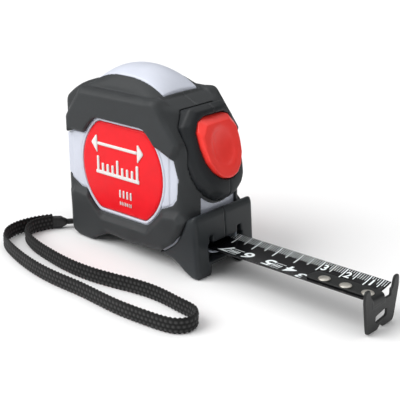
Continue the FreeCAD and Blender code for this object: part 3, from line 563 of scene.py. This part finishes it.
def armour(x, y, z):
    """Rubber over both halves of the shell, before it is split at the mid-plane."""
    out = np.abs(y)
    body = both(case_form(x, y, z, 0.0), out - SKIN_HALF, 1.5)
    root = BUMPER_ROOT - out
    upper = bevelled(outline_distance(x, z, UPPER), out - BUMPER_HALF, 1.5)
    edge = np.interp(z, (-30.0, -25.0), (1.2, 2.6))
    lower = bevelled(outline_distance(x, z, LOWER), out - BUMPER_HALF, edge)
    body = either(body, both(either(upper, lower), root), 1.0)
    lining = both(case_form(x, y, z, SKIN - 0.1), out - SIDE_WALL - 0.05)
    body = both(body, -lining)
    window = both(outline_distance(x, z, WINDOW), root)
    body = both(body, -window, 0.6)
    body = both(body, -both(badge_form(x, z, 1.3), root), 0.8)
    opening = both(span(x, PANEL_REAR - SOCKET, PANEL_FRONT + SOCKET), out - PANEL_HALF - SOCKET)
    opening = both(opening, PANEL_FLOOR - z)
    body = both(body, -opening, 0.4)
    body = both(body, -both(outline_distance(x, z, NOSE_SHAPE) - SOCKET, NOSE_SOCKET - out), 0.6)
    skirt = SKIRT_LOW + (np.abs(y - SKIRT_MIDDLE) / SKIRT_HALF) ** 2.4 * SKIRT_RISE
    wedge = both(both(WEDGE_BACK - x, z - skirt), out - WEDGE_HALF)
    body = both(body, -wedge, 0.6)
    across, along, above = button_axes(x, y, z)
    body = both(body, -both(outline_distance(across, along, POD) - SOCKET, -POD_DEPTH - above), 0.3)
    return both(body, -both(screw_holes(x, z, SCREW_WELL), WELL_FLOOR - y), 0.5)


def half_of(solid, side, soft):
    """One side of a solid split at the mid-plane, with a hairline where the halves meet."""
    return lambda x, y, z: both(solid(x, y, z), 0.03 - side * y, soft)


NOSE_HALF = 17.3
MOUTH_HALF, MOUTH_LOW, MOUTH_HIGH, MOUTH_BACK = 10.2, -30.0, -22.9, 15
SLOT_NEAR, SLOT_FAR, SLOT_LOW, SLOT_HIGH, SLOT_BACK = 7.3, 9.4, -26.0, -20.0, 34
ARCH_HALF, ARCH_TOP = 8.6, -31.6


def nose(x, y, z):
    """Feet and mouth in front: an opening for the blade, slots for the hook's prongs and an arch below."""
    out = np.abs(y)
    body = both(outline_distance(x, z, NOSE_SHAPE), out - NOSE_HALF, 2.0)
    body = both(body, -both(case_form(x, y, z, SKIN - 0.1), out - SIDE_WALL - 0.05))
    mouth = both(both(out - MOUTH_HALF, span(z, MOUTH_LOW, MOUTH_HIGH)), MOUTH_BACK - x)
    slot = both(both(span(out, SLOT_NEAR, SLOT_FAR), span(z, SLOT_LOW, SLOT_HIGH)), SLOT_BACK - x)
    arch = both(out - ARCH_HALF, z - ARCH_TOP)
    body = both(body, -either(mouth, slot, 0.4), 0.6)
    return both(body, -arch, 1.0)


def pod(x, y, z):
    """Crowned rubber surround of the button, with a hole for it."""
    across, along, above = button_axes(x, y, z)
    face = POD_TOP - POD_CROWN * (across / 14.2) ** 2 - POD_CHIN * np.maximum(-12 - along, 0) ** 2
    body = bevelled(outline_distance(across, along, POD), above - face, 1.9)
    body = both(body, -(outline_distance(across, along, BUTTON_SEAT) - 0.25), 0.4)
    body = both(body, -POD_DEPTH - above)
    return both(body, -case_form(x, y, z, SKIN - 0.1))


SIDES = {"left": -1, "right": 1}
STEP = 0.42
for side_name, side in SIDES.items():
    for name, stands_for, solid, soft, low, high, width, look, slot_name in (
            ("armour", "overmold", armour, 0.05, (-36, -38), (38.5, 41), 19.2, RUBBER, "armour_rubber"),
            ("nose_block", "nose", nose, 0.35, (15, -38), (41.5, -9), 17.6, NOSE, "nose_plastic"),
            ("button_surround", "button_pod", pod, 0.35, (20, -11), (44, 34), 14.8, POD_RUBBER_SHADED,
             "armour_rubber")):
        near, far = (-width, 0.0) if side < 0 else (0.0, width)
        moulded("%s_%s" % (name, side_name), half_of(solid, side, soft), (low[0], near, low[1]),
                (high[0], far, high[1]), STEP, look, "case", ["%s_%s" % (stands_for, side_name)])


def roof_panel(x, y, z):
    """Light insert in the top: crowned across, with softened edges."""
    out = np.abs(y)
    shell = both(case_form(x, y, z, 0.0), -case_form(x, y, z, SKIN - 0.05))
    return both(shell, both(span(x, PANEL_REAR, PANEL_FRONT), out - PANEL_HALF, 0.5), 0.6)


moulded("roof_panel", roof_panel, (-23, -10, 26), (17.5, 10, 41), STEP, SHELL, "case",
        ["top_panel"])


WING_REAR, WING_FRONT = -28.0, 25.5                      # the raised pads end here
WING_BACK, WING_STEP, WING_PAD = 15.6, 16.45, 16.85      # distances from the mid-plane


def side_panel(x, y, z):
    """Light wings each side of the badge: a raised inner pad and a lower outer step."""
    window = outline_distance(x, z, WINDOW) + 0.15
    deep = np.where(span(x, WING_REAR, WING_FRONT) < 0, WING_PAD, WING_STEP)
    return both(both(window, badge_form(x, z, 1.0) * -1, 0.4), span(np.abs(y), WING_BACK, deep), 0.5)


for side_name, side in SIDES.items():
    low, high = (-17.2, -15.4) if side < 0 else (15.4, 17.2)
    moulded("side_wings_" + side_name, side_panel, (-31.5, low, -12), (30.5, high, 13), 0.4, SHELL, "case")

# ---------------------------------------------------------------- badge

BADGE_FACE, BADGE_BACK, RIM_FACE, RIM_BACK = 17.1, 15.8, 17.05, 16.0
EMBLEM_MIDDLE, ARROW_HEIGHT = -2.0, 9.0


def flat_plate(outline_field, near, far, soft):
    """A plate between two distances from the mid-plane, softened at its outer edge."""
    return lambda x, y, z: both(outline_field(x, z), span(np.abs(y), near, far), soft)


def tick_row(x, z, left, right, count, foot, heights, width):
    """A row of upright bars standing on one line."""
    best = None
    for i in range(count):
        centre = left + (right - left) * i / (count - 1)
        tall = heights[i % len(heights)]
        bar = both(np.abs(x - centre) - width / 2, span(z, foot, foot + tall), 0.3)
        best = bar if best is None else np.minimum(best, bar)
    return best


def emblem(x, z):
    """Generic measuring motif: a line with arrow ends over a ruler, and two rows of short bars below."""
    line = both(np.abs(x - EMBLEM_MIDDLE) - 11.0, np.abs(z - ARROW_HEIGHT) - 0.7, 0.3)
    heads = [both(np.abs(z - ARROW_HEIGHT) * 0.8 + way * (x - tip), -way * (x - tip) - 3.4, 0.3)
             for way, tip in ((1, 12.6), (-1, -16.6))]
    ruler = tick_row(x, z, -13.0, 9.0, 9, -2.4, (6.2, 3.6, 3.6, 3.6), 1.3)
    base = both(np.abs(x - EMBLEM_MIDDLE) - 12.2, np.abs(z + 2.9) - 0.75, 0.3)
    small = tick_row(x, z, -0.8, 5.2, 4, -11.5, (3.4,), 0.9)
    tiny = tick_row(x, z, -0.8, 5.2, 7, -14.6, (1.7,), 0.5)
    return np.minimum.reduce([line, heads[0], heads[1], ruler, base, small, tiny])


for side_name, side in SIDES.items():
    low, high = (-18.0, -15.0) if side < 0 else (15.0, 18.0)
    plate = flat_plate(lambda x, z: badge_form(x, z, -0.1), BADGE_BACK, BADGE_FACE, 1.0)
    moulded("badge_plate_" + side_name, plate, (-23, low, -19), (23, high, 19), 0.4, BADGE, "case",
            ["badge_" + side_name])
    rim = flat_plate(lambda x, z: np.maximum(badge_form(x, z, 1.2), -badge_form(x, z, 0.0)),
                     RIM_BACK, RIM_FACE, 0.4)
    moulded("badge_rim_" + side_name, rim, (-24.5, low, -20.5), (24.5, high, 20.5), 0.3, SHELL, "case",
            ["badge_frame_" + side_name])
    if side < 0:                                         # the other badge stays plain
        moulded("badge_emblem_" + side_name, flat_plate(emblem, 16.9, BADGE_FACE + 0.45, 0.3),
                (-18, low, -16), (14, high, 12), 0.3, EMBLEM, "case")


# ---------------------------------------------------------------- release button

def button(x, y, z):
    """Button with sloping facets round its face and a bowl for the thumb."""
    across, along, above = button_axes(x, y, z)
    sunk = above - BUTTON_TOP
    facets = (outline_distance(across, along, BUTTON_FACE) + FACET_SLOPE * sunk) / math.hypot(1, FACET_SLOPE)
    cap = both(both(outline_distance(across, along, BUTTON_SEAT), facets, 0.1), both(sunk, -1 - above), 0.25)
    bowl = np.sqrt((across / 6.7) ** 2 + ((along + 0.6) / 7.9) ** 2 + ((sunk - 0.7) / 2.6) ** 2) - 1
    return both(cap, -bowl * 2.6, 0.6)


moulded("button_cap", button, (28, -10.6, -1), (44, 10.6, 28), 0.24, BUTTON, "button",
        ["release_button"])

# ---------------------------------------------------------------- blade, print and hook

BLADE_Z, BLADE_HALF, BLADE_RISE, BLADE_GAUGE = -26.1, 9.5, 1.34, 0.2
BLADE_ARC = (BLADE_HALF ** 2 + BLADE_RISE ** 2) / (2 * BLADE_RISE)
BLADE_START, BLADE_END = 36.9, 108.4
ZERO = 110.6                                             # outer face of the hook, where the scale starts
MARKS = {10: (2.6, 0.22), 5: (4.3, 0.18), 1: (5.8, 0.10)}    # spacing: inner end and half the width
INK_LIFT = 0.035


def blade_top(y, lift=0.0):
    return BLADE_Z + BLADE_GAUGE + lift + BLADE_ARC - np.sqrt(BLADE_ARC ** 2 - np.asarray(y) ** 2)


def blade_strip():
    ys = np.linspace(-BLADE_HALF, BLADE_HALF, 25)
    xs = np.linspace(BLADE_START, BLADE_END, 37)
    ring = [(y, blade_top(y)) for y in ys] + [(y, blade_top(y) - BLADE_GAUGE) for y in ys[::-1]]
    points = [(x, y, z) for x in xs for y, z in ring]
    n = len(ring)
    faces = [(i * n + j, i * n + (j + 1) % n, (i + 1) * n + (j + 1) % n, (i + 1) * n + j)
             for i in range(len(xs) - 1) for j in range(n)]
    faces += [tuple(range(n))[::-1], tuple(range((len(xs) - 1) * n, len(xs) * n))]
    return piece("blade_strip", points, faces, BLADE, "blade", ["blade"])


def numeral(text, x, y, size, turned):
    """One number as flat triangles (x, y), cut across in strips so that it can follow the blade's curve."""
    curve = bpy.data.curves.new("numeral", "FONT")
    curve.body, curve.size = text, size
    curve.align_x, curve.align_y = "CENTER", "CENTER"
    curve.offset = 0.02 * size
    holder = bpy.data.objects.new("numeral", curve)
    bpy.context.scene.collection.objects.link(holder)
    mesh = bpy.data.meshes.new_from_object(holder.evaluated_get(bpy.context.evaluated_depsgraph_get()))
    bpy.data.objects.remove(holder)
    cut = bmesh.new()
    cut.from_mesh(mesh)
    for k in range(-8, 9):
        bmesh.ops.bisect_plane(cut, geom=cut.verts[:] + cut.edges[:] + cut.faces[:],
                               plane_co=(0, k * 0.5, 0), plane_no=(0, 1, 0))
    bmesh.ops.triangulate(cut, faces=cut.faces[:])
    way = -1 if turned else 1
    points = [(x + way * v.co.x, y + way * v.co.y) for v in cut.verts]
    cut.verts.index_update()
    faces = [tuple(v.index for v in face.verts) for face in cut.faces]
    cut.free()
    return points, faces


def blade_print():
    """Scale in white ink: millimetre, half-centimetre and centimetre marks and the numbers."""
    points, faces = [], []

    def add(new_points, new_faces):
        start = len(points)
        points.extend((x, y, float(blade_top(y, INK_LIFT))) for x, y in new_points)
        faces.extend(tuple(start + i for i in face) for face in new_faces)
    for mark in range(3, 74):
        x = ZERO - mark
        inner, half = next(MARKS[spacing] for spacing in MARKS if mark % spacing == 0)
        if mark < 30 and mark % 10 in (7, 8, 9):         # room for the small numbers
            inner = 7.9
        ys = np.linspace(inner, BLADE_HALF - 0.15, 7)
        add([(x + s * half, y) for y in ys for s in (-1, 1)],
            [(2 * i, 2 * i + 1, 2 * i + 3, 2 * i + 2) for i in range(6)])
    for number in range(1, 8):
        at = ZERO - 10 * number
        if number <= 3:
            add(*numeral(str(number), at + 2.0, 5.6, 5.2, False))
        if number >= 3:
            across, tall = (-5.6, 7.6) if number == 3 else (-3.1, 9.0)
            add(*numeral(str(number), at + (-0.6 if number == 3 else 3.0), across, tall, True))
    for near in (4, 6):                                  # plain boxed marks between the numbers
        x0, x1 = ZERO - 10 * near - 6.4, ZERO - 10 * near - 0.2
        for bar in range(5):
            x = x0 + 1.0 + bar * (x1 - x0 - 2.0) / 4
            add([(x + way * 0.25, y) for y in (-5.4, -4.0, -2.6) for way in (-1, 1)],
                [(0, 1, 3, 2), (2, 3, 5, 4)])
        for y0, y1 in ((-1.5, -1.2), (-6.8, -6.5)):
            add([(x0, y0), (x1, y0), (x1, y1), (x0, y1)], [(0, 1, 2, 3)])
    return piece("blade_print", points, faces, INK, "blade", smooth=False)


blade_strip()
blade_print()

HOOK_FACE, HOOK_GAUGE = 109.6, 1.0
TONGUE_START, TONGUE_MIDDLE, TONGUE_HALF, TONGUE_GAUGE = 81.6, -2.05, 4.25, 0.6
HOOK_HALF = [(11.0, -21.0), (11.2, -25.4), (8.8, sole(HOOK_FACE, 0.35)), (1.8, sole(HOOK_FACE, 0.35)),
             (0.0, sole(HOOK_FACE, 1.9))]
PRONGS = [(7.9, -21.0), (6.8, -25.2)]
HOOK_SLOT = [(-3.3, -32.8), (3.7, -31.7), (3.7, -34.5), (-3.3, -35.5)]
NOTCH_HALF, NOTCH_FLOOR = 5.9, -27.6                     # between the prongs
plate_left = [(-y, z) for y, z in reversed(HOOK_HALF[:-1])]
HOOK_SHAPE = rounded(HOOK_HALF + plate_left + [(-y, z) for y, z in PRONGS] + PRONGS[::-1],
                     [1.5, 4, 2.2, 0.8, 0.6, 0.8, 2.2, 4, 1.5, 1.5, 1.2, 1.2, 1.5])


def hook(x, y, z):
    """Plate with two prongs, bent out of the tongue that is riveted to the blade."""
    plate = both(outline_distance(y, z, HOOK_SHAPE), span(x, HOOK_FACE, HOOK_FACE + HOOK_GAUGE), 0.4)
    beside = np.abs(y - TONGUE_MIDDLE)
    notch = both(np.abs(y) - NOTCH_HALF, NOTCH_FLOOR - z)
    plate = both(plate, -notch, 0.3)
    plate = both(plate, -outline_distance(y, z, rounded(HOOK_SLOT, 0.8)), 0.3)
    deck = blade_top(y, 0.05)
    outer = both(x - HOOK_FACE - HOOK_GAUGE, z - deck - TONGUE_GAUGE, 2.6)
    inner = both(x - HOOK_FACE, z - deck, 0.8)
    strip = both(outer, -inner, 0.2)
    strip = both(strip, beside - TONGUE_HALF, 0.3)
    strip = both(strip, np.maximum(TONGUE_START - x, -29.0 - z))
    corner = np.hypot(np.maximum(beside - TONGUE_HALF + 3, 0), np.maximum(TONGUE_START + 3 - x, 0)) - 3
    return either(plate, both(strip, corner, 0.2), 0.3)


moulded("end_hook", hook, (79, -11.6, -39), (111, 11.6, -20.5), 0.2, HOOK, "hook",
        ["hook"])

RIVET_Y, RIVET_PLACES, RIVET_TURNS = -3.5, (3.8, 12.9, 21.9), 32    # places are back from the scale's zero
RIVET_HALF = [(0.0, 0.62), (0.9, 0.6), (1.7, 0.5), (2.15, 0.34), (2.32, 0.12), (2.25, -0.02), (0.9, -0.05),
              (0.88, -1.35), (1.75, -1.37), (1.6, -1.55), (0.0, -1.6)]    # (radius, height), head then tail


def rivet_heads():
    """Three low domed rivets through the tongue, turned about their own axes."""
    points, faces, n = [], [], len(RIVET_HALF)
    for x in (ZERO - place for place in RIVET_PLACES):
        start, base = len(points), BLADE_Z + BLADE_GAUGE + TONGUE_GAUGE + 0.45
        for k in range(RIVET_TURNS):
            a = 2 * math.pi * k / RIVET_TURNS
            points += [(x + r * math.cos(a), RIVET_Y + r * math.sin(a), base + h) for r, h in RIVET_HALF]
        for k in range(RIVET_TURNS):
            for i in range(n - 1):
                a, b = start + k * n + i, start + (k + 1) % RIVET_TURNS * n + i
                faces.append((a, a + 1, b + 1, b))
    made = piece("rivet_heads", points, faces, RIVET, "blade", ["hook_rivets"])
    merge = bmesh.new()
    merge.from_mesh(made.data)
    bmesh.ops.remove_doubles(merge, verts=merge.verts[:], dist=1e-6)
    merge.to_mesh(made.data)
    merge.free()


rivet_heads()


def mouth_lip(x, y, z):
    """Light guide under the blade: a curved ledge with a rounded lip, and a rail behind one prong slot."""
    under = blade_top(y, -BLADE_GAUGE - 0.55)
    ledge = both(both(span(z, under - 0.9, under), span(x, 31.5, 41.0), 0.4), np.abs(y) - 9.9, 0.4)
    rail = both(both(span(y, 7.4, 8.4), span(z, -25.8, -20.2)), span(x, 34.5, 38.6), 0.3)
    return either(ledge, rail)


moulded("mouth_lip", mouth_lip, (31, -10, -29), (41.5, 10, -20), 0.3, GUIDE, "case",
        ["mouth_guide"])

# ---------------------------------------------------------------- belt clip and screws

CLIP_FACE, CLIP_WIDTH, CLIP_GAUGE, CLIP_GAP, CLIP_FOLD = 17.11, 13.0, 0.8, 5.2, 16.7
CLIP_SCREW = (0.0, 12.0)
CLIP_END, CLIP_TIP_RADIUS, CLIP_RIB = -17.8, 5.0, 0.25
SCREW_RADIUS, SCREW_BACK, SCREW_FACE = 2.4, 13.5, 15.4
DOMED, CROSS_HALF, CROSS_DEPTH, CROSS_REACH = 0.06, 0.35, 0.9, 0.62


def clip(x, y, z):
    """Folded spring-steel arm: round at its free end, flared at the tip, with a stamped rib."""
    outer = CLIP_FACE + CLIP_GAP + 2 * CLIP_GAUGE
    middle, bend = (CLIP_FACE + outer) / 2, (outer - CLIP_FACE) / 2
    across = np.hypot(y - middle, (z - CLIP_FOLD) * bend / 2.9)
    fold = both(span(across, bend - CLIP_GAUGE, bend), CLIP_FOLD - z)
    lean = np.interp(z, (CLIP_END, -14.0, -8.0, CLIP_FOLD), (-1.3, -2.6, 0.0, 0.0))
    rib = CLIP_RIB * np.clip(1.6 - np.abs(x) / 1.6, 0, 1)
    rib = rib * np.clip((z + 6) / 3, 0, 1) * np.clip((12 - z) / 3, 0, 1)
    arm = both(span(y, outer - CLIP_GAUGE + lean - rib, outer + lean - rib), z - CLIP_FOLD)
    tip_x = np.maximum(np.abs(x) - CLIP_WIDTH / 2 + CLIP_TIP_RADIUS, 0)
    corner = np.hypot(tip_x, np.maximum(-12.8 - z, 0)) - CLIP_TIP_RADIUS
    strip = either(fold, both(arm, corner))
    relief = both(y - CLIP_FACE - 0.05 - 0.16 * (z - CLIP_FOLD), CLIP_FOLD - z)   # room to flex at the fold
    return both(both(both(strip, -relief), np.abs(x) - CLIP_WIDTH / 2, 0.4), CLIP_END - z)


moulded("clip_arm", clip, (-6.7, 16.8, -18), (6.7, 24.2, 20), 0.28, STEEL, "clip",
        ["belt_clip"])


def cross_head(x, y, z, centre, near, far, radius):
    """Screw head, domed outwards, with a cross recess."""
    dx, dz = x - centre[0], z - centre[1]
    away = np.hypot(dx, dz)
    head = both(both(away - radius, span(y, near, far)), y - far + DOMED * away ** 2, 0.3)
    recess = both(away - radius * CROSS_REACH, far - CROSS_DEPTH - y)
    cross = both(np.minimum(np.abs(dx), np.abs(dz)) - CROSS_HALF, recess)
    return both(head, -cross)


for number, centre in enumerate(SCREWS, start=1):
    name = "case_screw_%d" % number

    def one(x, y, z, centre=centre):
        return cross_head(x, y, z, centre, SCREW_BACK, SCREW_FACE, SCREW_RADIUS)
    moulded(name, one, (centre[0] - 2.6, 13.2, centre[1] - 2.6), (centre[0] + 2.6, 15.6, centre[1] + 2.6),
            0.2, STEEL, "case", ["case_screws"] if number == 1 else [])

head_face = CLIP_FACE + CLIP_GAUGE
moulded("clip_screw_head",
        lambda x, y, z: cross_head(x, y, z, CLIP_SCREW, head_face, head_face + 1.2, SCREW_RADIUS),
        (-2.6, 17.6, 9.4), (2.6, 19.4, 14.6), 0.2, STEEL, "case", ["clip_screw"])

# ---------------------------------------------------------------- CAD nodes that stay

KEPT = {"case_left": SHELL, "case_right": SHELL, "reel": REEL, "reel_cover": REEL, "arbor": SPRING,
        "blade_coil": BLADE, "mainspring": SPRING, "blade_lead": BLADE, "brake_lever": REEL,
        "lever_pin": SPRING, "brake_spring": SPRING, "clip_plate": STEEL, "reel_washer_left": NYLON,
        "reel_washer_right": NYLON, "strap_pin": SPRING}
for name, look in KEPT.items():
    mesh = frame["nodes"][name].data
    mesh.materials.clear()
    mesh.materials.append(look)

# ---------------------------------------------------------------- floor and lights


def floor():
    """A pale sheet, in metres, wide enough to reach past the edges of a low view."""
    half = 6.0
    made = bpy.data.objects.new("floor", bpy.data.meshes.new("floor"))
    made.data.from_pydata([(-half, -half, 0), (half, -half, 0), (half, half, 0), (-half, half, 0)], [],
                          [(0, 1, 2, 3)])
    made.data.materials.append(finish("floor_paper", (0.93, 0.93, 0.93), rough=0.9, mottle=0.01,
                                      mottle_size=80.0, grain=0.05))
    bpy.context.scene.collection.objects.link(made)


def soft_light(name, where, spread, strength, tint=(1, 1, 1)):
    """A wide soft light that comes evenly from one direction."""
    light = bpy.data.lights.new(name, "SUN")
    light.angle, light.energy, light.color = math.radians(spread), strength, tint
    made = bpy.data.objects.new(name, light)
    made.rotation_euler = Vector(where).to_track_quat("Z", "Y").to_euler()
    bpy.context.scene.collection.objects.link(made)


floor()
soft_light("key", (-0.45, -0.62, 0.62), 50, 2.6)
soft_light("top", (-0.05, 0.15, 0.9), 80, 1.35)
soft_light("front", (0.8, -0.35, 0.5), 40, 0.18, (0.93, 0.97, 1.0))
world = bpy.data.worlds.new("studio")
world.use_nodes = True
world.node_tree.nodes["Background"].inputs["Color"].default_value = (1.0, 1.0, 1.0, 1)
world.node_tree.nodes["Background"].inputs["Strength"].default_value = 0.22
bpy.context.scene.world = world
bpy.context.scene.view_settings.view_transform = "Standard"
